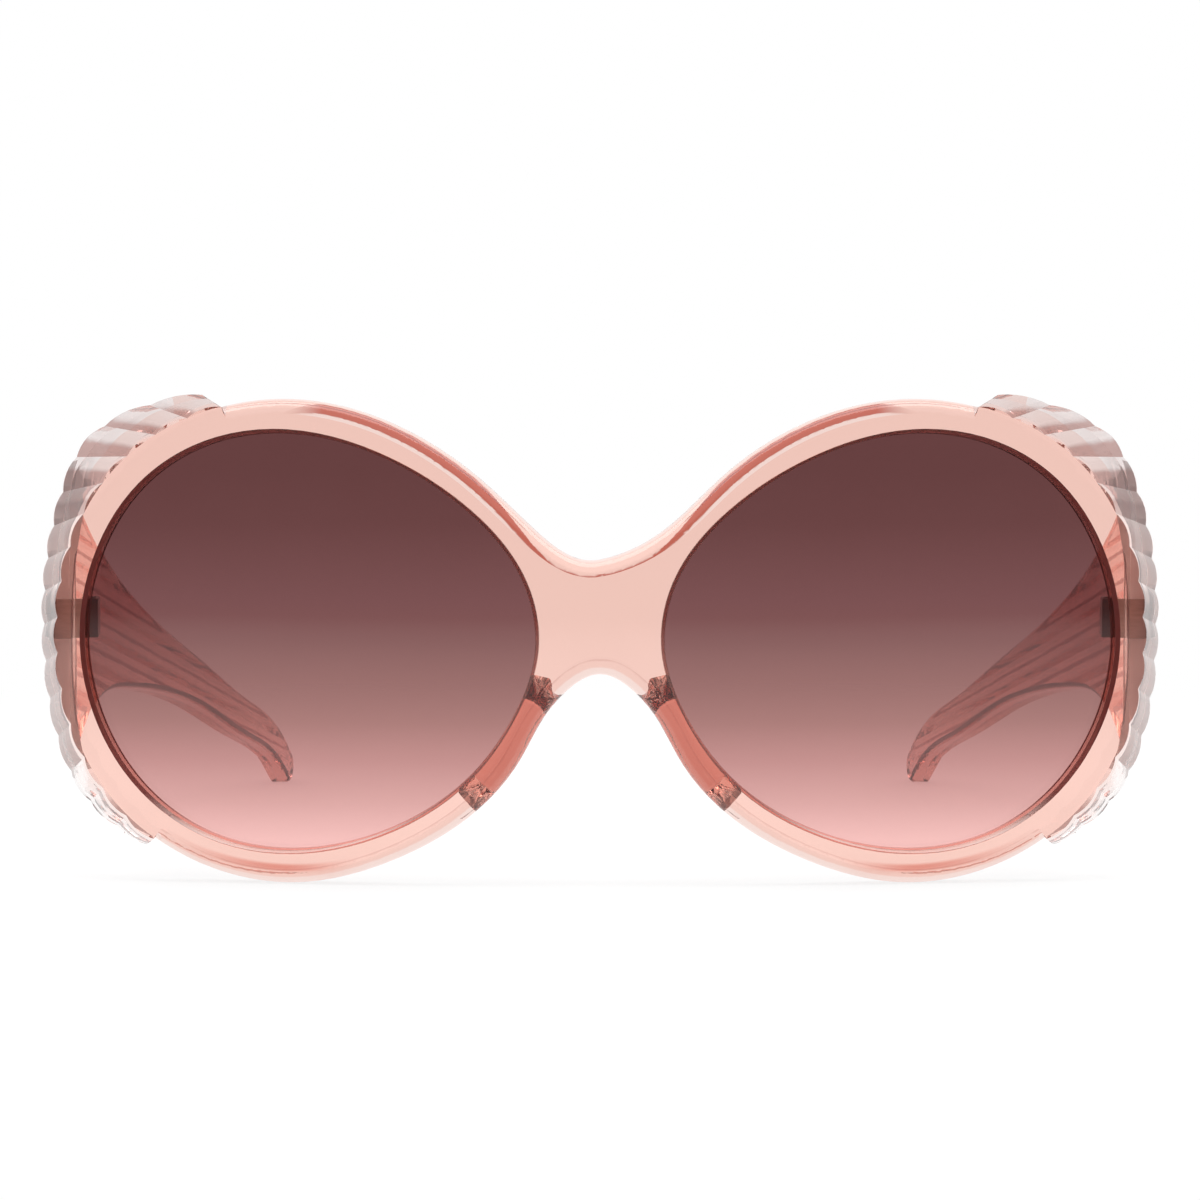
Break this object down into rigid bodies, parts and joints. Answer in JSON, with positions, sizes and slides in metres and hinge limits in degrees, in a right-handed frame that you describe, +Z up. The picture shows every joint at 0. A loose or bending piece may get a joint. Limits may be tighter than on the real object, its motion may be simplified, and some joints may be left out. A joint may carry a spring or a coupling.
{
  "type": "oversized sunglasses",
  "caption": "Oversized round sunglasses in clear pink plastic, with a fluted shell-like flank at each outer corner, fan-shaped folding temples and graded lenses.",
  "frame": {"origin": "on the resting surface, below the middle of the object's bounding box", "axes": "+X across the face, to the right as seen from the front, -Y the way the front faces, +Y along the temples, +Z up"},
  "size_m": [0.1506, 0.146, 0.0643],
  "materials": {
    "crystal_plastic": "polished clear pink",
    "graded_lens": "clear, plum-brown at the top fading to pink below",
    "hinge_metal": "dark nickel",
    "screw_metal": "plain steel"
  },
  "bodies": {
    "front": {"front_frame": "crystal_plastic", "right_lens": "graded_lens", "left_lens": "graded_lens", "right_front_hinge_leaf": "hinge_metal", "left_front_hinge_leaf": "hinge_metal", "right_hinge_screw": "screw_metal", "left_hinge_screw": "screw_metal"},
    "right_arm": {"right_temple": "crystal_plastic", "right_temple_hinge_leaf": "hinge_metal"},
    "left_arm": {"left_temple": "crystal_plastic", "left_temple_hinge_leaf": "hinge_metal"}
  },
  "joints": [
    {"name": "right_temple_hinge", "type": "hinge", "parent": "front", "child": "right_arm", "pos_m": [0.06852, -0.0532, 0.03435], "axis": [0, 0, 1], "range_deg": [0, 77]},
    {"name": "left_temple_hinge", "type": "hinge", "parent": "front", "child": "left_arm", "pos_m": [-0.06852, -0.0532, 0.03435], "axis": [0, 0, -1], "range_deg": [0, 83]}
  ]
}
